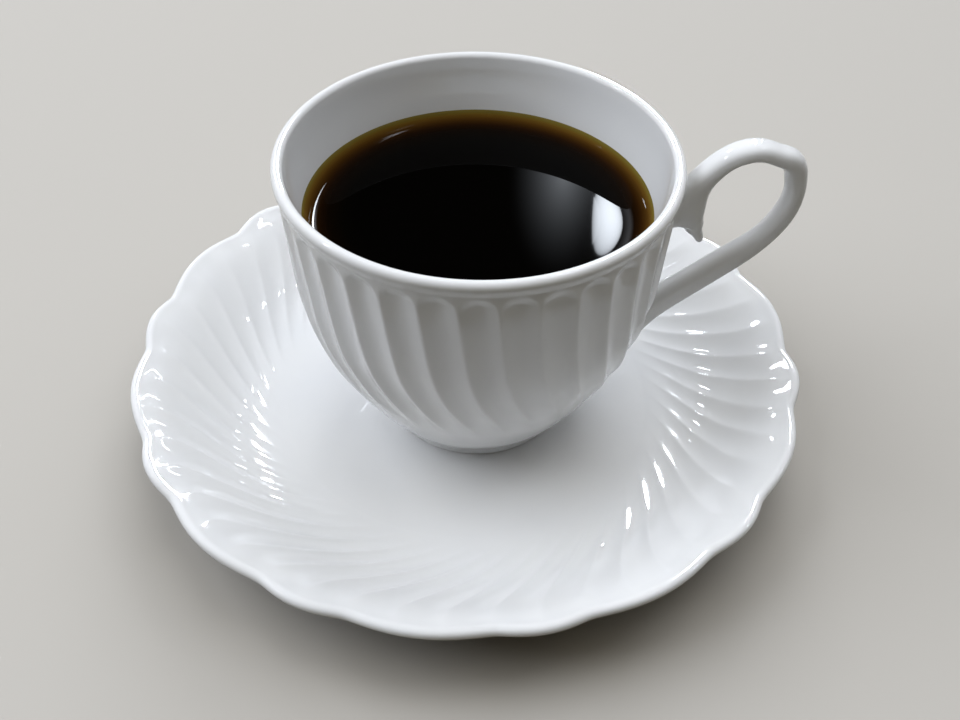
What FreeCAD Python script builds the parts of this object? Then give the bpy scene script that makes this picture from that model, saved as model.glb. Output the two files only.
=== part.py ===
"""Cup of coffee on its saucer: swirl-fluted porcelain cup, scalloped saucer, coffee.

Millimetres, Z up, saucer foot on z = 0, saucer centre on the Z axis,
cup handle towards +X.  Three solids: saucer, cup (bowl + foot ring + handle,
one fired piece) and coffee (solid up to its level).
"""
import FreeCAD, Part
import math, os

V = FreeCAD.Vector
os.makedirs("parts", exist_ok=True)

# ------------------------------------------------------------ driving sizes
saucer_radius = 74.6      # mean radius of the scalloped edge
saucer_height = 20.4      # foot to the top of the edge bead
saucer_floor  = 3.65      # thickness of the well
saucer_foot   = 42.6      # outer radius of the saucer's foot ring
well_level    = 5.15      # flat top of the well, the cup stands on it
rim_radius    = 40.5      # outside of the rolled lip
cup_height    = 66.8      # foot ring to the top of the lip
cup_wall      = 4.0       # thickness half way up, over the ridges
cup_floor     = 4.6       # thickness in the middle of the bowl
cup_foot      = 20.7      # outer radius of the cup's foot ring
lip           = 1.2       # half the thickness of the rolled lip
lip_lean      = 10.0      # degrees, the inside leans outwards at the lip
coffee_depth  = 14.9      # lip top down to the flat coffee surface
meniscus_rise = 2.5       # how far the coffee climbs the glazed wall
capillary     = 2.3       # capillary length of coffee
handle_reach  = 25.0      # cup wall to the outside of the loop
cup_shift     = (1.97, 1.10)   # cup axis from the saucer centre

# decoration
cup_flutes         = 34      # channels round the cup
cup_flute_depth    = 0.75
cup_flute_phase    = -0.2    # degrees, a ridge at the handle
saucer_periods     = 10      # one wide and one narrow lobe each
lobe_flutes        = (3, 2)  # flutes in the wide and in the narrow lobe
saucer_flute_depth = 0.55
saucer_phase       = 1.2     # degrees, one of the notches between lobes
flute_steps        = 8       # rows of points across one flute
lobe_rise          = 1.35    # notch to lobe crown, in radius
edge_slope         = 0.64    # the crowns rise this much per mm of radius
edge_bead          = 1.35    # radius of the rounded edge

# scale of the profiles (1.0 at the sizes above)
kr = rim_radius / 40.5
kh = cup_height / 66.8
ks = saucer_radius / 74.6
kz = (saucer_height - well_level) / 15.25


def table(pairs, x):
    """Smooth (monotone cubic) interpolation in a table of pairs."""
    xs = [p[0] for p in pairs]
    ys = [p[1] for p in pairs]
    x = min(max(x, xs[0]), xs[-1])
    d = [(ys[i + 1] - ys[i]) / (xs[i + 1] - xs[i]) for i in range(len(xs) - 1)]
    m = [d[0]] + [0.0 if d[i - 1] * d[i] <= 0 else
                  2 * d[i - 1] * d[i] / (d[i - 1] + d[i])
                  for i in range(1, len(d))] + [d[-1]]
    for i in range(len(d)):
        if x <= xs[i + 1]:
            h = xs[i + 1] - xs[i]
            t = (x - xs[i]) / h
            return (ys[i] * (1 + 2 * t) * (1 - t) ** 2 + h * m[i] * t * (1 - t) ** 2
                    + ys[i + 1] * t * t * (3 - 2 * t) - h * m[i + 1] * t * t * (1 - t))


def smooth(t):
    t = min(max(t, 0.0), 1.0)
    return t * t * (3 - 2 * t)


def channel(across):
    """Flute section: 0 on the narrow rounded ridge, 1 in the channel's middle."""
    s, e, q = abs(math.sin(math.pi * across)), 0.22, 0.85
    lo, hi = e ** q, (1 + e * e) ** (q / 2)
    return ((s * s + e * e) ** (q / 2) - lo) / (hi - lo)


def skin(rows):
    """Face through closed rows of points: periodic cubic round, cubic along."""
    n, m = len(rows[0]), len(rows)
    ts = [0.0]
    for j in range(1, m):
        gap = sum(math.dist(rows[j][i], rows[j - 1][i]) for i in range(0, n, flute_steps))
        ts.append(ts[-1] + gap / len(range(0, n, flute_steps)))
    cols = []
    for i in range(n):
        c = Part.BSplineCurve()
        c.interpolate(Points=[V(*rows[j][i]) for j in range(m)], Parameters=ts)
        cols.append(c.getPoles())
    # poles of the periodic cubic through the columns: inverse B-spline filter
    z = math.sqrt(3.0) - 2.0
    gain = [z ** abs(k) for k in range(-13, 14)]
    total = sum(gain)
    poles = []
    for i in range(-1, n - 1):
        row = []
        for j in range(len(cols[0])):
            p = V(0, 0, 0)
            for k, w in enumerate(gain):
                p += cols[(i + k - 13) % n][j] * (w / total)
            row.append(p)
        poles.append(row)
    s = Part.BSplineSurface()
    s.buildFromPolesMultsKnots(poles, [1] * (n + 1), c.getMultiplicities(),
                               [float(i) for i in range(n + 1)], c.getKnots(),
                               True, False, 3, 3)
    s.setUNotPeriodic()
    faces = []
    for a, b in ((0, n // 2), (n // 2, n)):
        half = s.copy()
        half.segment(float(a), float(b), 0.0, ts[-1])
        faces.append(half.toShape())
    return faces


def spline(points):
    c = Part.BSplineCurve()
    c.interpolate(Points=[V(r, 0, z) for r, z in points])
    return c.toShape()


def line(a, b):
    return Part.makeLine(V(a[0], 0, a[1]), V(b[0], 0, b[1]))


def turned(edges, start=0.0):
    """Faces of revolution of a profile, its seam at the angle start."""
    faces = []
    for turn in (start, start + 180.0):
        w = Part.Wire(edges)
        w.rotate(V(0, 0, 0), V(0, 0, 1), turn)
        faces += w.revolve(V(0, 0, 0), V(0, 0, 1), 180).Faces
    return faces


def closed(faces, name):
    sh = Part.makeCompound(faces)
    sh.sewShape(0.005)
    assert len(sh.Shells) == 1, name
    body = Part.makeSolid(sh.Shells[0])
    if body.Volume < 0:
        body.reverse()
    assert body.isValid() and body.isClosed(), name
    return body


# ------------------------------------------------------------ cup
# outside of the bowl over the ridges: (height over the foot, radius)
outside = [(2.2, cup_foot / kr), (3.6, 22.0), (6.6, 24.6), (11.5, 27.7), (18.3, 31.5),
           (27.1, 35.5), (38.9, 38.3), (51.6, 39.2), (61.4, 39.82), (63.5, 39.88),
           (64.2, 40.12), (65.0, 40.42)]
# thickness of the bowl inwards: (height over the foot, share of cup_wall)
thickness = [(12.4, 1.45), (20.0, 1.05), (30.0, 1.0), (42.0, 1.02),
             (54.4, 0.94), (61.0, 0.65)]
# curve from the wall into the floor: (height over the floor, share of the radius)
hollow = [(1.3, 0.67), (0.0, 0.36)]
swirl = [(0.0, 27.0), (10.0, 22.0), (20.0, 16.2), (26.0, 12.0), (34.0, 6.8),
         (41.0, 4.0), (49.0, 2.3), (58.0, 1.0), (65.0, 0.0)]   # degrees


def wall(h):
    return kr * table(outside, h / kh)


def cup_row(h):
    """One ring of the fluted outside at the height h."""
    t = h / kh
    row = []
    turn = table(swirl, t)
    for i in range(cup_flutes):
        for j in range(flute_steps):
            across = j / flute_steps
            top = 60.6 + 2.9 * math.sqrt(1 - (2 * across - 1) ** 2)  # arched end
            deep = smooth((top - t) / 2.6) * smooth((t - 17.5) / 12.0)
            r = wall(h) - cup_flute_depth * channel(across) * deep
            a = math.radians(360.0 * (i + across) / cup_flutes + turn
                             + cup_flute_phase)
            row.append((r * math.cos(a), r * math.sin(a), h))
    return row


heights = [2.2, 3.8, 7.0, 11.5, 15.5, 19.0, 22.5, 26.0, 30.0, 35.0, 41.0,
           48.0, 54.5, 58.0, 60.0, 61.4, 62.6, 63.5, 64.2, 65.0]
bowl_skin = skin([cup_row(h * kh) for h in heights])

lc = (rim_radius - lip, cup_height - lip)     # centre of the rolled lip
lean = math.radians(lip_lean)
brink = (lc[0] - lip * math.cos(lean), lc[1] + lip * math.sin(lean))
arc = Part.Arc(V(lc[0] + lip, 0, lc[1]), V(lc[0], 0, lc[1] + lip),
               V(brink[0], 0, brink[1])).toShape()
recess = 1.7                                  # hollow under the foot
floor_z = recess + cup_floor
sides = [(wall(h * kh) - cup_wall * t, h * kh) for h, t in reversed(thickness)]
curve = [(sides[-1][0] * share, floor_z + up) for up, share in hollow]
inner = spline([brink] + sides + curve)
floor = line(curve[-1], (0, floor_z))
upper = [line((wall(heights[-1] * kh), heights[-1] * kh), (lc[0] + lip, lc[1])),
         arc, inner, floor]


def foot_ring(r_in, r_out, recess, top, start):
    """Profile of a turned foot: recess, rounded ring flat below, flank."""
    q = 0.5                                  # radius of the ring's corners
    c = q * (1 - math.sqrt(0.5))
    return [line((0, recess), (r_in - 0.8, recess)),
            line((r_in - 0.8, recess), (r_in, q)),
            Part.Arc(V(r_in, 0, q), V(r_in + c, 0, c), V(r_in + q, 0, 0)).toShape(),
            line((r_in + q, 0), (r_out - q, 0)),
            Part.Arc(V(r_out - q, 0, 0), V(r_out - c, 0, c), V(r_out, 0, q)).toShape(),
            line((r_out, q), (r_out - 0.15, top)),
            line((r_out - 0.15, top), start)]


low = heights[0] * kh
foot = foot_ring(cup_foot - 3.3, cup_foot, recess, 1.5, (wall(low), low))
bowl = closed(bowl_skin + turned(upper, cup_flute_phase)
              + turned(foot, cup_flute_phase + table(swirl, heights[0])), "bowl")

# the space inside the bowl, up to the lip
cavity = closed(turned([line((0, brink[1]), brink), inner, floor],
                       cup_flute_phase), "cavity")

# handle: (gap from the wall, height, half width, outer and inner half thickness)
# stations along the loop from the upper root to the lower root
loop = [(3.7, 50.5, 2.45, 1.86, 3.10), (3.6, 52.2, 2.93, 2.74, 3.30),
        (3.5, 54.9, 3.13, 3.03, 3.35), (3.7, 57.5, 3.08, 2.93, 3.10),
        (4.7, 60.4, 3.03, 2.54, 2.54), (6.35, 63.3, 2.98, 2.15, 2.15),
        (8.1, 66.0, 2.93, 2.05, 2.05), (11.4, 67.8, 2.84, 2.30, 2.30),
        (14.8, 68.2, 2.69, 2.35, 2.35), (18.3, 67.1, 2.59, 2.25, 2.35),
        (21.1, 65.6, 2.59, 3.13, 2.35), (22.6, 62.9, 2.54, 2.44, 2.15),
        (23.4, 60.0, 2.49, 2.05, 2.05), (23.7, 56.5, 2.44, 2.10, 2.10),
        (22.8, 52.4, 2.44, 2.20, 2.20), (20.7, 48.1, 2.52, 2.15, 2.15),
        (17.4, 44.0, 2.64, 2.40, 2.40), (13.4, 40.1, 2.74, 2.64, 2.64),
        (9.5, 36.1, 2.84, 2.69, 2.69), (6.0, 32.2, 2.93, 2.74, 2.74),
        (3.1, 28.7, 3.13, 2.89, 2.89), (1.0, 25.9, 3.62, 3.33, 3.33),
        (-0.7, 23.2, 4.30, 4.11, 4.11)]
kg = handle_reach / 25.0


def tube(stations, round_n=14):
    """Closed tube of rounded sections across a path in the XZ plane."""
    path = [V(wall(h * kh) + g * kg, 0, h * kh) for g, h, *_ in stations]
    c = Part.BSplineCurve()
    c.interpolate(Points=path)
    along = [c.tangent(c.parameter(p))[0] for p in path]
    rows = []
    for p, t, (_, _, a, b_out, b_in) in zip(path, along, stations):
        row = []
        for j in range(round_n):
            u = 2 * math.pi * j / round_n
            w, b = (math.copysign(abs(x) ** 0.88, x) for x in (math.cos(u), math.sin(u)))
            b *= b_out if b > 0 else b_in            # outwards is away from the gap
            row.append((p.x - t.z * b, w * a, p.z + t.x * b))
        rows.append(row)
    side = skin(rows)
    edges = [e for face in side for e in face.Edges]
    caps = []
    for p, t in ((path[0], along[0]), (path[-1], along[-1])):
        rim = [e for e in edges if all(abs((q - p).dot(t)) < 1e-4 for q in e.discretize(5))]
        caps.append(Part.Face(Part.Wire(Part.__sortEdges__(rim))))
    return closed(side + caps, "tube")


# pad that joins the loop's upper end to the wall
pad = [(-1.6, 54.2, 3.60, 5.2, 5.1), (0.2, 54.2, 3.25, 4.7, 4.7),
       (1.8, 54.2, 2.95, 4.4, 4.4), (3.5, 54.2, 2.85, 4.1, 4.2)]
# spur that hangs from the upper root into the gap
spur = [(4.6, 53.0, 2.30, 2.00, 2.30), (5.1, 50.8, 2.20, 2.25, 2.25),
        (5.7, 49.3, 1.90, 1.85, 1.85), (6.3, 48.3, 1.50, 1.35, 1.35),
        (6.9, 47.3, 1.05, 0.90, 0.90), (7.3, 46.4, 0.60, 0.50, 0.50),
        (7.4, 45.8, 0.25, 0.22, 0.22)]
cup = bowl.fuse([tube(loop).cut(cavity), tube(pad), tube(spur)])
assert len(cup.Solids) == 1, "cup"
cup = cup.Solids[0]

# ------------------------------------------------------------ coffee
level = cup_height - coffee_depth * kh
edge_z = level + meniscus_rise                       # the coffee wets the wall up to here
contact = inner.distToShape(line((0, edge_z), (rim_radius, edge_z)))[1][0][0].x


def reach(y):
    """Distance along a meniscus at which it stands y over its level, but for a constant."""
    return capillary * math.acosh(2 * capillary / y) - math.sqrt(4 * capillary ** 2 - y * y)


climb = [meniscus_rise * share for share in (0.01, 0.03, 0.08, 0.18, 0.33, 0.52, 0.75, 1.0)]
meniscus = [(contact - reach(y) + reach(meniscus_rise), level + y) for y in climb]
start = (meniscus[0][0] - capillary, level)
outline = Part.Wire([line((0, 0), (rim_radius, 0)), line((rim_radius, 0), (rim_radius, edge_z)),
                     line((rim_radius, edge_z), meniscus[-1]), spline([start] + meniscus),
                     line(start, (0, level)), line((0, level), (0, 0))])
coffee = cavity.common(Part.Face(outline).revolve(V(0, 0, 0), V(0, 0, 1), 360)).Solids[0]

place = V(cup_shift[0], cup_shift[1], well_level)   # the foot stands on the well
cup.translate(place)
coffee.translate(place)

# ------------------------------------------------------------ saucer
pitch = 360.0 / (saucer_periods * sum(lobe_flutes))


def crown(theta):
    """0 in the notch between two lobes, 1 on the crown of a lobe."""
    u = ((theta - saucer_phase) / pitch) % sum(lobe_flutes)
    if u < lobe_flutes[0]:
        t = u / lobe_flutes[0]
    else:
        t = (u - lobe_flutes[0]) / lobe_flutes[1]
    s = math.sin(math.pi * t)
    return (math.sqrt(s * s + 0.05) - math.sqrt(0.05)) / (math.sqrt(1.05) - math.sqrt(0.05))


def saucer_swirl(r):
    return 19.0 * max(0.0, (70.4 * ks - r) / (21.5 * ks)) ** 1.7


# upper side: (radius, height over the well, share of the flutes, of the lobes)
upper_side = [(42.0, 0.0, 0.0, 0.0), (44.5, 0.2, 0.03, 0.0), (47.0, 0.62, 0.2, 0.0),
              (50.0, 1.49, 0.6, 0.0), (53.5, 2.9, 0.9, 0.02), (57.5, 4.95, 1.0, 0.06),
              (62.5, 8.01, 1.0, 0.18), (67.0, 10.84, 0.95, 0.45), (70.3, 12.87, 0.7, 0.75),
              (72.1, 14.2, 0.3, 0.95)]
# underside: (radius, thickness, share of the flutes, of the lobes)
lower_side = [(71.2, 2.6, -0.15, 0.9), (67.0, 2.95, -0.35, 0.5), (61.0, 3.2, -0.4, 0.15),
              (54.5, 3.3, -0.25, 0.0), (49.5, 2.9, -0.05, 0.0), (46.0, 3.2, 0.0, 0.0)]
# round the edge: (outwards, upwards) in bead radii from the bead's centre
bead = [(0.0, 1.0), (0.75, 0.68), (1.0, 0.0), (0.55, -0.95)]


def rise(r0):
    """Height of the upper side at the radius r0, without flutes and lobes."""
    return well_level + kz * table([row[:2] for row in upper_side], r0)


bead_r, bead_z = saucer_radius - edge_bead, saucer_height - edge_bead
ring = [(r * ks, rise(r), flute, lobe) for r, _, flute, lobe in upper_side]
ring += [(bead_r + out * edge_bead, bead_z + up * edge_bead, 0.0, 1.0) for out, up in bead]
ring += [(r * ks, rise(r) - thick, flute, lobe) for r, thick, flute, lobe in lower_side]


def saucer_row(r0, z0, flute, lobe):
    """One ring of the fluted, scalloped saucer."""
    row = []
    turn = saucer_swirl(r0)
    for i in range(saucer_periods * sum(lobe_flutes)):
        for j in range(flute_steps):
            across = j / flute_steps
            base = saucer_phase + (i + across) * pitch
            a = math.radians(base + turn)
            out = lobe * lobe_rise * (crown(base) - 0.62)
            z = z0 + out * edge_slope - saucer_flute_depth * channel(across) * flute
            row.append(((r0 + out) * math.cos(a), (r0 + out) * math.sin(a), z))
    return row


saucer_skin = skin([saucer_row(*p) for p in ring])
well = [line((0, well_level), ring[0][:2])]
under = foot_ring(saucer_foot - 3.6, saucer_foot, well_level - saucer_floor, 1.2,
                  ring[-1][:2])
saucer = closed(saucer_skin + turned(well, saucer_phase + saucer_swirl(ring[0][0]))
                + turned(under, saucer_phase + saucer_swirl(ring[-1][0])), "saucer")

# ------------------------------------------------------------ output
for name, shape in (("saucer", saucer), ("cup", cup), ("coffee", coffee)):
    assert shape.isValid(), name
    shape.exportStep("parts/%s.step" % name)
    bb = shape.BoundBox
    print("%-7s %9.0f mm3  x %.2f..%.2f  y %.2f..%.2f  z %.2f..%.2f" % (
        name, shape.Volume, bb.XMin, bb.XMax, bb.YMin, bb.YMax, bb.ZMin, bb.ZMax))
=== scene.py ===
"""Cup of coffee on its saucer: swirl-fluted porcelain, filled with black coffee.

Metres, Z up, the saucer's foot on z = 0, the cup's handle towards +X.
"""
import math
import bpy
import numpy as np
from mathutils import Matrix, Vector


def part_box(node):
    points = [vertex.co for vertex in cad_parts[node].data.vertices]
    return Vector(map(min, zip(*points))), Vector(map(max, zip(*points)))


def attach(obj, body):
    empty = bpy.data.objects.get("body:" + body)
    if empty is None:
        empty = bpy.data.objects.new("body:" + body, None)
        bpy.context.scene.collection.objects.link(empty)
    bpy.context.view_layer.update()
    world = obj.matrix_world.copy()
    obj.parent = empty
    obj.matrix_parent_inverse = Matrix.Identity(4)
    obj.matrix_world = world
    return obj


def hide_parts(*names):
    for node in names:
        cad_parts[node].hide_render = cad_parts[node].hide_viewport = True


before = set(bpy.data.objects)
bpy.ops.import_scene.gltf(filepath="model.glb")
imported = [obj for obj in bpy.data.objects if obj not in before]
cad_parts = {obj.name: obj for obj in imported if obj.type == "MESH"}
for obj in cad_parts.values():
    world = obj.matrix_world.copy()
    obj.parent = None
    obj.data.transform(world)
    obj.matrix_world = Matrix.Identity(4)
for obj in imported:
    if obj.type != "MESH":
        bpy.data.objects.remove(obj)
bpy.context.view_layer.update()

# ------------------------------------------------------------------ saucer
# One pressed porcelain dish. A flat well carries the cup, fifty shallow flutes swirl
# up the side, and the edge is a rounded bead in wide lobes of three flutes and narrow
# lobes of two. It is glazed all over but for the ground ring that it stands on.
MM = 0.001
saucer_low, saucer_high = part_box("saucer")
saucer_across = 149.68           # mm over the lobes along X, in the tables below
saucer_scale = (saucer_high.x - saucer_low.x) / saucer_across  # metres for each of those mm
saucer_flutes = 50
saucer_flute_depth = 0.45
saucer_phase = math.radians(1.2)
saucer_swirl = 19.0              # degrees that a flute turns over its swirl_run
swirl_start, swirl_run, swirl_power = 70.4, 21.5, 1.7
lobe_rise = 1.35                 # mm from the notches out to the crowns
lobe_middle = 0.62               # share of the crown at which the edge has its mean radius
edge_slope = 0.64                # mm that the edge rises for each mm that it goes out
# (radius, height, share of the flute depth, share of the lobes), from the well over
# the edge to the foot
saucer_side = [(42.0, 5.15, 0.0, 0.0), (44.5, 5.35, 0.03, 0.0), (47.0, 5.65, 0.2, 0.0),
               (50.0, 6.35, 0.6, 0.0), (53.5, 7.65, 0.9, 0.02), (57.5, 9.85, 1.0, 0.06),
               (62.5, 13.4, 1.0, 0.18), (67.0, 16.8, 0.95, 0.45), (70.3, 18.8, 0.6, 0.75),
               (72.1, 19.65, 0.2, 0.95), (73.3, 20.12, 0.0, 1.0), (74.22, 19.87, 0.0, 1.0),
               (74.6, 19.05, 0.0, 1.0), (73.99, 17.77, 0.0, 1.0), (71.2, 16.07, -0.15, 0.9),
               (67.0, 13.04, -0.35, 0.5), (61.0, 9.02, -0.4, 0.15), (54.5, 5.22, -0.25, 0.0),
               (49.5, 3.57, -0.05, 0.0), (46.0, 2.37, 0.0, 0.0)]
# (radius, height) of the foot ring with the underside within it, and of the well
saucer_foot = [(42.45, 1.2), (42.6, 0.5), (42.45, 0.15), (42.1, 0.0), (39.5, 0.0),
               (39.15, 0.15), (39.0, 0.5), (38.2, 1.5), (30.0, 1.5), (10.0, 1.5), (1.0, 1.5)]
saucer_well = [(1.0, 5.15), (12.0, 5.15), (24.0, 5.15), (35.0, 5.15), (40.5, 5.15)]


def through(knots, spacing):
    """Natural cubic spline through rows of numbers, the first two of them a place.

    The second derivative at each knot solves the usual tridiagonal system, and the
    spline is then read about every spacing along each gap between knots.
    """
    knots = np.asarray(knots, float)
    gaps = np.linalg.norm(np.diff(knots[:, :2], axis=0), axis=1)
    count = len(knots)
    inner = np.arange(1, count - 1)
    system = np.eye(count)
    system[inner, inner - 1] = gaps[:-1]
    system[inner, inner] = 2 * (gaps[:-1] + gaps[1:])
    system[inner, inner + 1] = gaps[1:]
    right = np.zeros_like(knots)
    right[inner] = 6 * np.diff(np.diff(knots, axis=0) / gaps[:, None], axis=0)
    bend = np.linalg.solve(system, right)
    steps = np.ceil(gaps / spacing).astype(int)
    gap = np.append(np.repeat(np.arange(count - 1), steps), count - 2)
    b = np.append(np.concatenate([np.arange(n) / n for n in steps]), 1.0)[:, None]
    a = 1 - b
    curve = (a ** 3 - a) * bend[gap] + (b ** 3 - b) * bend[gap + 1]
    return a * knots[gap] + b * knots[gap + 1] + curve * gaps[gap, None] ** 2 / 6


def channel(across):
    """Section of a flute: 0 on its narrow rounded ridge and 1 in the channel's middle.

    It is the softened sine (sin^2 + e^2)^q, moved and scaled to that range.
    """
    e, q = 0.22, 0.425
    low, high = e ** (2 * q), (1 + e * e) ** q
    return ((np.sin(np.pi * across) ** 2 + e * e) ** q - low) / (high - low)


def places(flutes, steps):
    """Places round a fluted ring, counted in flutes, closer together at the ridges."""
    j = np.arange(steps) / steps
    gather = 0.45
    across = j - gather * np.sin(2 * np.pi * j) / (2 * np.pi)
    return (np.arange(flutes)[:, None] + across).ravel()


def crown(u):
    """Scalloped edge: 0 in the notches, 1 on the crowns of a wide and a narrow lobe.

    It is the softened sine sqrt(s^2 + e) over three flutes and then over two, moved and
    scaled to that range.
    """
    wide, both, e = 3, 5, 0.05
    v = u % both
    s = np.sin(np.pi * np.where(v < wide, v / wide, (v - wide) / (both - wide)))
    return (np.sqrt(s * s + e) - math.sqrt(e)) / (math.sqrt(1 + e) - math.sqrt(e))


def polar(radius, angle, height):
    """Places (r cos a, r sin a, h) on rings round the vertical axis."""
    radius, angle, height = np.broadcast_arrays(radius, angle, height)
    return np.stack((radius * np.cos(angle), radius * np.sin(angle), height), -1)


def closed_rings(name, *tubes):
    """Closed mesh of one or more stacks of rings, each an array of rings of places.

    Quads join each ring to the next, and the first and the last ring of a stack are
    closed by triangles to a point in their middle.
    """
    points, faces, base = [], [], 0
    for rings in tubes:
        m, n = rings.shape[:2]
        points += [rings.reshape(-1, 3), rings[:1].mean(1), rings[-1:].mean(1)]
        i = base + np.arange(m - 1)[:, None] * n
        j = np.arange(n)
        k = (j + 1) % n
        faces += np.stack((i + j, i + n + j, i + n + k, i + k), -1).reshape(-1, 4).tolist()
        end = base + m * n
        faces += np.stack((np.full(n, end), base + j, base + k), -1).tolist()
        faces += np.stack((np.full(n, end + 1), end - n + k, end - n + j), -1).tolist()
        base = end + 2
    mesh = bpy.data.meshes.new(name)
    mesh.from_pydata(np.vstack(points).tolist(), [], faces)
    mesh.polygons.foreach_set("use_smooth", np.ones(len(faces), bool))
    mesh.update()
    return mesh


def place(name, mesh, material, node):
    """Puts a finished mesh in the scene as the piece that stands for a solid."""
    mesh.materials.append(material)
    piece = bpy.data.objects.new(name, mesh)
    bpy.context.scene.collection.objects.link(piece)
    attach(piece, "root")
    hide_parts(node)


def node(tree, kind, inputs=None, **settings):
    """A new shader node; an input is a plain value or the output that feeds it."""
    new = tree.nodes.new(kind)
    for key, value in settings.items():
        setattr(new, key, value)
    for socket, value in (inputs or {}).items():
        if isinstance(value, bpy.types.NodeSocket):
            tree.links.new(value, new.inputs[socket])
        else:
            new.inputs[socket].default_value = value
    return new


def glaze_group():
    """Fired glaze: a little uneven in tint, gloss and level, and bare on the foot."""
    group = bpy.data.node_groups.new("fired glaze", "ShaderNodeTree")
    face = group.interface
    for name, kind in (("Glaze", "NodeSocketColor"), ("Pooled Glaze", "NodeSocketColor"),
                       ("Bare Clay", "NodeSocketColor"), ("Foot Level", "NodeSocketFloat")):
        face.new_socket(name, in_out="INPUT", socket_type=kind)
    for name, kind in (("Color", "NodeSocketColor"), ("Roughness", "NodeSocketFloat"),
                       ("Normal", "NodeSocketVector")):
        face.new_socket(name, in_out="OUTPUT", socket_type=kind)
    given = group.nodes.new("NodeGroupInput")
    result = group.nodes.new("NodeGroupOutput")
    where = node(group, "ShaderNodeTexCoord").outputs["Object"]
    height = node(group, "ShaderNodeSeparateXYZ", {0: where}).outputs["Z"]
    # clouds of slightly thicker glaze, about 14 mm across
    clouds = node(group, "ShaderNodeTexNoise", {"Vector": where, "Scale": 70.0, "Detail": 2.0})
    pooled = node(group, "ShaderNodeMapRange", {"Value": clouds.outputs["Fac"],
                                                "From Min": 0.35, "From Max": 0.75})
    tint = node(group, "ShaderNodeMix", {"Factor": pooled.outputs[0], 6: given.outputs["Glaze"],
                                         7: given.outputs["Pooled Glaze"]}, data_type="RGBA")
    # the ground ring: bare within a quarter of a millimetre of its level
    over = node(group, "ShaderNodeMath", {0: height, 1: given.outputs["Foot Level"]},
                operation="SUBTRACT")
    bare = node(group, "ShaderNodeMapRange", {"Value": over.outputs[0], "From Min": 0.15 * MM,
                                              "From Max": 0.35 * MM, "To Min": 1.0,
                                              "To Max": 0.0})
    colour = node(group, "ShaderNodeMix", {"Factor": bare.outputs[0], 6: tint.outputs[2],
                                           7: given.outputs["Bare Clay"]}, data_type="RGBA")
    # gloss: nearly even on glaze, matt on clay
    gloss = node(group, "ShaderNodeMapRange", {"Value": clouds.outputs["Fac"],
                                               "To Min": 0.03, "To Max": 0.08})
    rough = node(group, "ShaderNodeMix", {"Factor": bare.outputs[0], 2: gloss.outputs[0],
                                          3: 0.85})
    # level: long soft waves of the glaze and the grain of the clay
    waves = node(group, "ShaderNodeTexNoise", {"Vector": where, "Scale": 160.0, "Detail": 1.0})
    grain = node(group, "ShaderNodeTexNoise", {"Vector": where, "Scale": 4000.0})
    relief = node(group, "ShaderNodeMix", {"Factor": bare.outputs[0], 2: waves.outputs["Fac"],
                                           3: grain.outputs["Fac"]})
    bump = node(group, "ShaderNodeBump", {"Strength": 1.0, "Distance": 0.03 * MM,
                                          "Height": relief.outputs[0]})
    for socket, value in (("Color", colour.outputs[2]), ("Roughness", rough.outputs[0]),
                          ("Normal", bump.outputs[0])):
        group.links.new(value, result.inputs[socket])
    return group


fired_glaze = glaze_group()


def porcelain(name, foot_level):
    """White glazed porcelain that stands on a bare ring at that level."""
    material = bpy.data.materials.new(name)
    material.use_nodes = True
    tree = material.node_tree
    skin = tree.nodes["Principled BSDF"]
    glaze = node(tree, "ShaderNodeGroup", node_tree=fired_glaze)
    glaze.inputs["Glaze"].default_value = (0.735, 0.732, 0.722, 1)
    glaze.inputs["Pooled Glaze"].default_value = (0.715, 0.714, 0.71, 1)
    glaze.inputs["Bare Clay"].default_value = (0.62, 0.59, 0.54, 1)
    glaze.inputs["Foot Level"].default_value = foot_level
    tree.links.new(glaze.outputs["Color"], skin.inputs["Base Color"])
    tree.links.new(glaze.outputs["Roughness"], skin.inputs["Roughness"])
    tree.links.new(glaze.outputs["Normal"], skin.inputs["Normal"])
    skin.inputs["IOR"].default_value = 1.52
    return material


turns = places(saucer_flutes, steps=16)
# rings are close on the inner side, closest round the bead and wider apart underneath
side = through(saucer_side, np.array([0.65] * 9 + [0.35] * 5 + [1.3] * 5))
r, h, flute, lobe = side.T[:, :, None]
swirl = np.radians(saucer_swirl) * (np.maximum(0, swirl_start - r) / swirl_run) ** swirl_power
out = lobe * lobe_rise * (crown(turns) - lobe_middle)
side_r = r + out
side_h = h + out * edge_slope - saucer_flute_depth * channel(turns % 1) * flute
side_a = saucer_phase + turns * 2 * np.pi / saucer_flutes + swirl
well_r, well_h = np.array(saucer_well).T[:, :, None]
foot_r, foot_h = np.array(saucer_foot).T[:, :, None]
saucer_rings = np.vstack((polar(well_r, side_a[:1], well_h), polar(side_r, side_a, side_h),
                          polar(foot_r, side_a[-1:], foot_h))) * saucer_scale
place("saucer_dish", closed_rings("saucer_dish", saucer_rings),
      porcelain("saucer glaze", saucer_low.z), "saucer")

# ------------------------------------------------------------------ cup
# The cup is pressed in a fluted mould: thirty-four channels swirl round the bowl below
# a plain rounded lip. The cast handle, a tall loop with a thumb rest and a spur under
# its upper root, is stuck on with slip and fired in one with the bowl.
cup_low, cup_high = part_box("cup")
coffee_low, coffee_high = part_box("coffee")
cup_tall = 70.61                 # mm from the foot to the solid handle's crest
cup_scale = (cup_high.z - cup_low.z) / cup_tall                # metres for each mm of the tables
cup_axis = ((coffee_low.x + coffee_high.x) / 2, (coffee_low.y + coffee_high.y) / 2, cup_low.z)
cup_flutes = 34
cup_flute_depth = 0.75
cup_flute_phase = math.radians(-0.2)
rim_radius = 40.5
cup_height = 66.8
cup_wall = 4.0
lip = 1.2                        # radius of its roll
lip_lean = 10.0                  # degrees, the inside leans outwards at the lip
flutes_from, flutes_full = 17.5, 29.5            # heights where the channels start and are full
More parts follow.
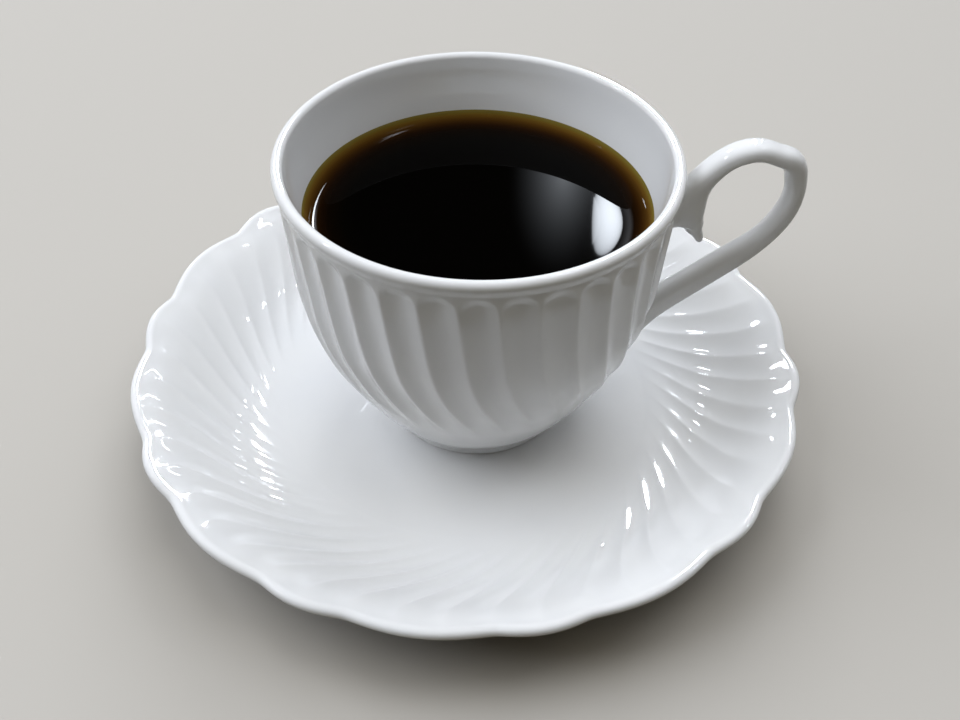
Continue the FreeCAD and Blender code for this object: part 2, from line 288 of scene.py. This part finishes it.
arch_foot, arch_rise, arch_end = 60.6, 2.9, 2.6  # the arches that end them under the lip
# radius over the ridges, by height over the foot
bowl_outside = [(2.2, 20.7), (3.6, 22.0), (6.6, 24.6), (11.5, 27.7), (18.3, 31.5),
                (27.1, 35.5), (38.9, 38.3), (51.6, 39.2), (61.4, 39.82), (63.5, 39.88),
                (64.2, 40.12), (65.0, 40.42)]
# wall thickness as a share of cup_wall, by height
bowl_thickness = [(12.4, 1.45), (20.0, 1.05), (30.0, 1.0), (42.0, 1.02), (54.4, 0.94),
                  (61.0, 0.65)]
# turn of the channels in degrees, by height
bowl_swirl = [(0.0, 27.0), (10.0, 22.0), (20.0, 16.2), (26.0, 12.0), (34.0, 6.8),
              (41.0, 4.0), (49.0, 2.3), (58.0, 1.0), (65.0, 0.0)]
# (radius, height) of the inside's floor, and of the foot ring with the base within it
bowl_floor = [(1.0, 6.3), (8.1, 6.3), (15.0, 7.6)]
cup_foot = [(20.55, 1.5), (20.7, 0.5), (20.55, 0.15), (20.2, 0.0), (17.9, 0.0),
            (17.55, 0.15), (17.4, 0.5), (16.6, 1.7), (10.0, 1.7), (1.0, 1.7)]


def graph(pairs, x):
    """Monotone cubic through pairs: harmonic means of the slopes beside each pair."""
    xs, ys = np.array(pairs).T
    x = np.clip(x, xs[0], xs[-1])
    gaps = np.diff(xs)
    d = np.diff(ys) / gaps
    m = np.concatenate((d[:1], 2 * d[:-1] * d[1:] / (d[:-1] + d[1:]), d[-1:]))
    i = np.clip(np.searchsorted(xs, x, "right") - 1, 0, len(d) - 1)
    t = (x - xs[i]) / gaps[i]
    start = ys[i] * (1 + 2 * t) + gaps[i] * m[i] * t
    end = ys[i + 1] * (3 - 2 * t) - gaps[i] * m[i + 1] * (1 - t)
    return start * (1 - t) ** 2 + end * t ** 2


def eased(t):
    """Smooth step from 0 to 1."""
    t = np.clip(t, 0, 1)
    return t * t * (3 - 2 * t)


def bowl_radius(h, across):
    """Outside of the bowl at a height, across a flute from 0 to 1.

    It is the radius over the ridges less the channel's depth, which grows from
    flutes_from up and runs out below a half circle's arch.
    """
    top = arch_foot + arch_rise * np.sqrt(1 - (2 * across - 1) ** 2)
    grown = eased((h - flutes_from) / (flutes_full - flutes_from))
    depth = cup_flute_depth * eased((top - h) / arch_end) * grown
    return graph(bowl_outside, h) - depth * channel(across)


turns = places(cup_flutes, steps=20)
around = cup_flute_phase + turns * 2 * np.pi / cup_flutes
# rings are close under the lip, where arches end the channels
outer_h = np.concatenate((np.arange(65.0, 57.0, -0.25), np.arange(57.0, 2.2, -0.95), [2.2]))
outer_h = outer_h[:, None]
outer_a = around + np.radians(graph(bowl_swirl, outer_h))
inner = bowl_floor + [(graph(bowl_outside, h) - cup_wall * t, h) for h, t in bowl_thickness]
lip_middle = np.array((rim_radius - lip, cup_height - lip))
roll = np.radians(np.linspace(180 - lip_lean, 0, 18))[:, None]
lip_r, lip_h = lip_middle[0] + lip * np.cos(roll), lip_middle[1] + lip * np.sin(roll)
inner = through(inner + [(lip_r[0, 0], lip_h[0, 0])], 2.5)
inner_r, inner_h = inner[:-1].T[:, :, None]
foot_r, foot_h = np.array(cup_foot).T[:, :, None]
bowl = np.vstack((polar(inner_r, around, inner_h), polar(lip_r, around, lip_h),
                  polar(bowl_radius(outer_h, turns % 1), outer_a, outer_h),
                  polar(foot_r, outer_a[-1:], foot_h))) * cup_scale + cup_axis
cup_glaze = porcelain("cup glaze", cup_low.z)
place("cup_bowl", closed_rings("cup_bowl", bowl), cup_glaze, "cup")

# The handle's stations along its line: gap from the wall, height over the foot, half
# width, and half thickness to the outside and to the inside of the loop.
handle_loop = [(3.7, 50.5, 2.45, 1.86, 3.10), (3.6, 52.2, 2.93, 2.74, 3.30),
               (3.5, 54.9, 3.13, 3.03, 3.35), (3.7, 57.5, 3.08, 2.93, 3.10),
               (4.8, 60.4, 3.03, 2.64, 2.4), (6.85, 63.0, 2.98, 2.7, 1.5),
               (8.65, 65.35, 3.0, 2.6, 1.05), (11.5, 67.0, 3.03, 2.5, 1.0),
               (14.8, 67.4, 2.95, 2.5, 1.0), (18.05, 66.35, 2.8, 2.6, 1.05),
               (20.9, 65.0, 2.65, 2.85, 1.5), (22.4, 62.8, 2.45, 2.85, 1.7),
               (23.4, 60.0, 2.45, 2.32, 1.95), (23.7, 56.5, 2.44, 2.10, 2.10),
               (22.8, 52.4, 2.44, 2.20, 2.20), (20.7, 48.1, 2.52, 2.15, 2.15),
               (17.4, 44.0, 2.64, 2.40, 2.40), (13.4, 40.1, 2.74, 2.64, 2.64),
               (9.5, 36.1, 2.84, 2.69, 2.69), (6.0, 32.2, 2.93, 2.74, 2.74),
               (3.1, 28.7, 3.13, 2.89, 2.89), (1.0, 25.9, 3.62, 3.33, 3.33),
               (-0.7, 23.2, 4.30, 4.11, 4.11)]
handle_pad = [(-1.6, 54.2, 3.60, 5.2, 5.1), (0.2, 54.2, 3.25, 4.7, 4.7),
              (1.8, 54.2, 2.95, 4.4, 4.4), (3.5, 54.2, 2.85, 4.1, 4.2)]
handle_spur = [(4.6, 53.0, 2.30, 2.00, 2.30), (5.1, 50.8, 2.20, 2.25, 2.25),
               (5.7, 49.3, 1.90, 1.85, 1.85), (6.3, 48.3, 1.50, 1.35, 1.35),
               (7.0, 47.2, 1.25, 1.10, 1.10), (7.4, 46.2, 0.95, 0.85, 0.85),
               (7.6, 45.5, 0.50, 0.45, 0.45)]
handle_fillet = 1.6                              # gap from the wall at which it starts
fillet_spread = 0.55                             # share of it that the skin moves at the wall
outer_power, inner_power = 0.72, 0.88            # of its section's halves, 1 for an ellipse
handle_steps = 48                                # places round a section


def tube(stations):
    """Rings of rounded sections across a line in the plane y = 0.

    The line and the half sizes run as one spline through the stations. A section is the
    superellipse (w cos^p, b sin^p), with its own b and p for each side of the line: the
    outside of the loop is the squarer.
    """
    rows = np.array(stations)
    rows[:, 0] += graph(bowl_outside, rows[:, 1])
    rows = through(rows, 0.5)
    ahead = np.gradient(rows[:, :2], axis=0)
    ahead /= np.linalg.norm(ahead, axis=1)[:, None]
    u = np.arange(handle_steps) * 2 * np.pi / handle_steps
    p = np.where(np.sin(u) > 0, outer_power, inner_power)
    c, s = (np.sign(v) * np.abs(v) ** p for v in (np.cos(u), np.sin(u)))
    b = np.where(s > 0, rows[:, 3:4], rows[:, 4:5]) * s
    return np.stack((rows[:, :1] - ahead[:, 1:] * b, rows[:, 2:3] * c,
                     rows[:, 1:2] + ahead[:, :1] * b), -1)


def merged(mesh, voxel, passes):
    """The mesh's parts as one skin of small quads, its creases eased by passes."""
    holder = bpy.data.objects.new("holder", mesh)
    bpy.context.scene.collection.objects.link(holder)
    remesh = holder.modifiers.new("remesh", "REMESH")
    remesh.mode = "VOXEL"
    remesh.voxel_size = voxel
    remesh.use_smooth_shade = True
    ease = holder.modifiers.new("ease", "SMOOTH")
    ease.factor = 0.5
    ease.iterations = passes
    shape = holder.evaluated_get(bpy.context.evaluated_depsgraph_get())
    skin = bpy.data.meshes.new_from_object(shape)
    bpy.data.objects.remove(holder)
    return skin


handle_parts = [tube(stations) for stations in (handle_loop, handle_pad, handle_spur)]
handle = merged(closed_rings("handle", *handle_parts), voxel=0.3, passes=8)
count = len(handle.vertices)
spots = np.zeros(count * 3)
normals = np.zeros(count * 3)
handle.vertices.foreach_get("co", spots)
handle.vertex_normals.foreach_get("vector", normals)
spots, normals = spots.reshape(-1, 3), normals.reshape(-1, 3)
r = np.hypot(spots[:, 0], spots[:, 1])
angle = np.arctan2(spots[:, 1], spots[:, 0])
h = spots[:, 2]
u = (angle - cup_flute_phase - np.radians(graph(bowl_swirl, h))) * cup_flutes / (2 * np.pi)
gap = r - bowl_radius(h, u % 1)
# glaze fills the corner to the wall: the skin spreads sideways as it nears the wall
slope = graph(bowl_outside, h + 0.5) - graph(bowl_outside, h - 0.5)
facing = np.stack((np.cos(angle), np.sin(angle), -slope), -1)
facing /= np.linalg.norm(facing, axis=1)[:, None]
along = normals - (normals * facing).sum(1)[:, None] * facing
spread = fillet_spread * handle_fillet * np.clip(1 - gap / handle_fillet, 0, 1) ** 2
spots += along * spread[:, None]
# and what is inside the wall stays within half its thickness
sunk = np.minimum(0, r - graph(bowl_outside, h) + cup_wall / 2)
spots[:, 0] -= sunk * np.cos(angle)
spots[:, 1] -= sunk * np.sin(angle)
handle.vertices.foreach_set("co", (spots * cup_scale + cup_axis).ravel())
handle.update()
place("cup_handle", handle, cup_glaze, "cup")

# ------------------------------------------------------------------ coffee
# Black filter coffee, nearly opaque: it looks black in the middle, and brown and then
# olive where it thins out against the white wall, which it wets and climbs a little.
capillary = 1.7                  # mm, sets how far out from the wall the climb is felt
meniscus_rise = 2.25             # mm that it climbs
into_wall = 0.3                  # mm that its sides reach into the porcelain
coffee_steps = 240               # places round a ring
coffee_edge = (coffee_high.x - coffee_low.x) / 2 / cup_scale   # radius where it meets the wall
edge_h = (coffee_high.z - cup_low.z) / cup_scale
# heights over its level, from a hair to the thin film just past the edge
rise = meniscus_rise * np.geomspace(0.0012, 1.06, 46)


def reach(y):
    """Distance along a meniscus at which it stands y over its level, but for a constant."""
    return capillary * np.arccosh(2 * capillary / y) - np.sqrt(4 * capillary ** 2 - y * y)


surface_r = coffee_edge - reach(rise) + reach(meniscus_rise)
surface_h = edge_h - meniscus_rise + rise
middle_r = np.linspace(1.0, surface_r[0], 12, endpoint=False)
middle_h = np.full_like(middle_r, surface_h[0])
# from just under the edge to the floor it follows the bowl's inside, a little into the wall
under = inner[(inner[:, 1] < edge_h - 0.5) & (inner[:, 0] > 2)][::-1]
r = np.concatenate((middle_r, surface_r, [surface_r[-1] + into_wall],
                    under[:, 0] + into_wall, [1.0]))
h = np.concatenate((middle_h, surface_h, [surface_h[-1] + 0.02],
                    under[:, 1] - into_wall, [under[-1, 1] - into_wall]))
a = -np.arange(coffee_steps) * 2 * np.pi / coffee_steps
drink = polar(r[:, None], a, h[:, None]) * cup_scale + cup_axis


def coffee_liquid():
    """Dark clear liquid over white: its colour goes by the distance from the wall."""
    material = bpy.data.materials.new("black coffee")
    material.use_nodes = True
    tree = material.node_tree
    where = node(tree, "ShaderNodeTexCoord").outputs["Object"]
    from_axis = node(tree, "ShaderNodeVectorMath", {0: where, 1: (cup_axis[0], cup_axis[1], 0)},
                     operation="SUBTRACT")
    flat = node(tree, "ShaderNodeVectorMath", {0: from_axis.outputs[0], 1: (1, 1, 0)},
                operation="MULTIPLY")
    radius = node(tree, "ShaderNodeVectorMath", {0: flat.outputs[0]}, operation="LENGTH")
    edge = (coffee_edge + 0.7) * cup_scale                        # a little inside the wall
    tones_run = 12 * MM
    depth = node(tree, "ShaderNodeMapRange", {"Value": radius.outputs["Value"], "From Min": edge,
                                              "From Max": edge - tones_run})
    shade = node(tree, "ShaderNodeValToRGB", {0: depth.outputs[0]})
    ramp = shade.color_ramp
    # distance inwards from that edge as a share of tones_run, and colour
    tones = [(0.0, (0.55, 0.53, 0.33)), (0.025, (0.33, 0.295, 0.105)),
             (0.05, (0.205, 0.164, 0.038)), (0.075, (0.138, 0.092, 0.015)),
             (0.10, (0.10, 0.052, 0.008)), (0.15, (0.054, 0.0245, 0.0042)),
             (0.20, (0.032, 0.0135, 0.0025)), (0.25, (0.0195, 0.0075, 0.0015)),
             (0.30, (0.011, 0.0042, 0.001)), (0.375, (0.0055, 0.0023, 0.0007)),
             (0.50, (0.0024, 0.0012, 0.0005)), (0.75, (0.0009, 0.0007, 0.0005)),
             (1.0, (0.0006, 0.0005, 0.0004))]
    while len(ramp.elements) < len(tones):
        ramp.elements.new(0.5)
    for element, (at, colour) in zip(ramp.elements, tones):
        element.position = at
        element.color = (*colour, 1)
    skin = tree.nodes["Principled BSDF"]
    tree.links.new(shade.outputs["Color"], skin.inputs["Base Color"])
    skin.inputs["Roughness"].default_value = 0.02
    skin.inputs["IOR"].default_value = 1.33
    # a weak mirror, so that the white wall over it doesn't grey the black
    skin.inputs["Specular IOR Level"].default_value = 0.05
    return material


place("coffee_drink", closed_rings("coffee_drink", drink), coffee_liquid(), "coffee")

# ------------------------------------------------------------------ studio
# A plain pale floor that fades into a pale background, soft lamps that give the light,
# glowing panes for the highlights, and a camera that looks down on the cup from the front.
floor_seen, floor_bounce = (0.44, 0.415, 0.375, 1), (0.14, 0.125, 0.095, 1)
background, dim_room = (0.60, 0.59, 0.565, 1), (0.02, 0.017, 0.01, 1)
floor_half = 4.0
square = ((-1, -1), (1, -1), (1, 1), (-1, 1))
floor_mesh = bpy.data.meshes.new("floor")
floor_mesh.from_pydata([(x * floor_half, y * floor_half, 0) for x, y in square], [],
                       [(0, 1, 2, 3)])
floor = bpy.data.objects.new("floor", floor_mesh)
bpy.context.scene.collection.objects.link(floor)
floor_material = bpy.data.materials.new("pale floor")
floor_material.use_nodes = True
floor_tree = floor_material.node_tree
floor_skin = floor_tree.nodes["Principled BSDF"]
# pale as seen and mirrored, darker in the light that it sends back to the porcelain
floor_rays = node(floor_tree, "ShaderNodeLightPath")
floor_tone = node(floor_tree, "ShaderNodeMix", {"Factor": floor_rays.outputs["Is Diffuse Ray"],
                                                6: floor_seen, 7: floor_bounce},
                  data_type="RGBA")
floor_tree.links.new(floor_tone.outputs[2], floor_skin.inputs["Base Color"])
floor_skin.inputs["Roughness"].default_value = 0.5
floor_skin.inputs["Specular IOR Level"].default_value = 0.0
# from 0.4 to 1.3 m off, the camera sees it turn into the plain pale background
on_floor = node(floor_tree, "ShaderNodeTexCoord").outputs["Object"]
away_by = node(floor_tree, "ShaderNodeVectorMath", {0: on_floor}, operation="LENGTH")
far = node(floor_tree, "ShaderNodeMapRange", {"Value": away_by.outputs["Value"],
                                              "From Min": 0.4, "From Max": 1.3},
           interpolation_type="SMOOTHSTEP")
share = node(floor_tree, "ShaderNodeMath", {0: far.outputs[0],
                                            1: floor_rays.outputs["Is Camera Ray"]},
             operation="MULTIPLY")
plain = node(floor_tree, "ShaderNodeEmission", {"Color": background})
both = node(floor_tree, "ShaderNodeMixShader", {0: share.outputs[0], 1: floor_skin.outputs[0],
                                                2: plain.outputs[0]})
floor_tree.links.new(both.outputs[0], floor_tree.nodes["Material Output"].inputs["Surface"])
floor_mesh.materials.append(floor_material)

world = bpy.data.worlds.new("studio")
world.use_nodes = True
bpy.context.scene.world = world
sky = world.node_tree
# pale to the camera, and a dim room to everything else
sky_seen = node(sky, "ShaderNodeLightPath").outputs["Is Camera Ray"]
sky_tone = node(sky, "ShaderNodeMix", {"Factor": sky_seen, 6: dim_room, 7: background},
                data_type="RGBA")
sky.links.new(sky_tone.outputs[2], sky.nodes["Background"].inputs["Color"])
aim = Vector((0, 0, 0.05))       # what the lamps and panes are turned to
lamp_away, pane_away = 1.4, 3.0  # and their distances from it


def towards(azimuth, elevation):
    """Unit direction from the cup, in degrees round from +X and up."""
    az, el = math.radians(azimuth), math.radians(elevation)
    return Vector((math.cos(az) * math.cos(el), math.sin(az) * math.cos(el), math.sin(el)))


def softbox(name, azimuth, elevation, size, radiance, tint):
    """A round area lamp at lamp_away in a direction from the cup, turned to it.

    Its power is radiance times its area times pi, pi / 4 size^2 being the area.
    """
    away = towards(azimuth, elevation)
    lamp = bpy.data.lights.new(name, "AREA")
    lamp.shape = "DISK"
    lamp.size = size
    lamp.energy = radiance * size * size * math.pi ** 2 / 4
    lamp.color = tint
    rig = bpy.data.objects.new(name, lamp)
    rig.location = aim + away * lamp_away
    rig.rotation_euler = away.to_track_quat("Z", "Y").to_euler()
    rig.visible_glossy = False      # the panes make the highlights
    bpy.context.scene.collection.objects.link(rig)


def window(name, azimuth, elevation, width, height, radiance, fade):
    """A glowing pane at pane_away, its sizes in degrees, that only shows mirrored.

    Its light is radiance times (1 - distance from the middle)^fade, the distance being 1
    on the ellipse of its width and height.
    """
    away = towards(azimuth, elevation)
    w, h = (pane_away * math.tan(math.radians(size / 2)) for size in (width, height))
    turned = away.to_track_quat("Z", "Y").to_matrix()
    middle = aim + away * pane_away
    pane_mesh = bpy.data.meshes.new(name)
    pane_mesh.from_pydata([turned @ Vector((x * w, y * h, 0)) + middle for x, y in square], [],
                          [(0, 1, 2, 3)])
    pane = bpy.data.objects.new(name, pane_mesh)
    bpy.context.scene.collection.objects.link(pane)
    pane.visible_diffuse = False    # the soft lamps light the matt part
    pane.visible_camera = False
    glow = bpy.data.materials.new(name)
    glow.use_nodes = True
    tree = glow.node_tree
    tree.nodes.clear()
    uv = pane_mesh.uv_layers.new(name="pane")
    uv.data.foreach_set("uv", np.array(square, float).ravel())
    spot = node(tree, "ShaderNodeUVMap", uv_map="pane").outputs[0]
    shape = node(tree, "ShaderNodeTexGradient", {0: spot}, gradient_type="SPHERICAL")
    faded = node(tree, "ShaderNodeMath", {0: shape.outputs["Fac"], 1: fade}, operation="POWER")
    light = node(tree, "ShaderNodeMath", {0: faded.outputs[0], 1: radiance}, operation="MULTIPLY")
    shine = node(tree, "ShaderNodeEmission", {"Color": (0.86, 0.92, 1, 1),
                                              "Strength": light.outputs[0]})
    clear = node(tree, "ShaderNodeBsdfTransparent")
    pair = node(tree, "ShaderNodeAddShader", {0: shine.outputs[0], 1: clear.outputs[0]})
    node(tree, "ShaderNodeOutputMaterial", {"Surface": pair.outputs[0]})
    pane_mesh.materials.append(glow)


cool, warm = (0.90, 0.95, 1.04), (1.06, 1.0, 0.86)
# direction in degrees, size in metres, radiance and tint
softbox("left window", 175, 44, 1.3, 4.6, cool)
softbox("high back", 50, 68, 1.4, 2.45, cool)
softbox("low back", 86, 33, 0.8, 4.4, cool)
softbox("ceiling", 90, 82, 0.7, 1.0, cool)
softbox("overhead", -90, 78, 1.0, 1.1, warm)
softbox("right", 15, 44, 1.0, 0.9, cool)
softbox("front right", -30, 60, 1.2, 0.3, warm)
# direction and sizes in degrees, radiance and fade
window("tall window", 79.85, 30, 3.7, 24, 280.0, 0.4)
window("narrow window", 70, 25, 0.9, 15, 60.0, 0.3)
window("curtain", 84, 34, 6.8, 14, 22.0, 2.5)
window("window behind left", 118, 31, 4, 6, 90.0, 0.3)
window("ceiling strip", 30, 68, 1.6, 9, 120.0, 0.3)
window("right strip", 8, 34, 1.5, 5, 100.0, 0.3)
window("left strip", 168, 45, 2, 6, 100.0, 0.3)

camera_lens = bpy.data.cameras.new("camera")
camera_lens.sensor_width = 36.0
camera_lens.lens = 39.36
camera = bpy.data.objects.new("camera", camera_lens)
camera_at = (0.00197, -0.1736, 0.1865)
look_down, pan, tilt_aside = 0.7767, 0.0056, 0.019             # radians
turn = (Matrix.Rotation(-pan, 4, "Z") @ Matrix.Rotation(math.pi / 2 - look_down, 4, "X")
        @ Matrix.Rotation(tilt_aside, 4, "Z"))
camera.matrix_world = Matrix.Translation(camera_at) @ turn
bpy.context.scene.collection.objects.link(camera)
bpy.context.scene.camera = camera
bpy.context.scene.view_settings.view_transform = "Standard"
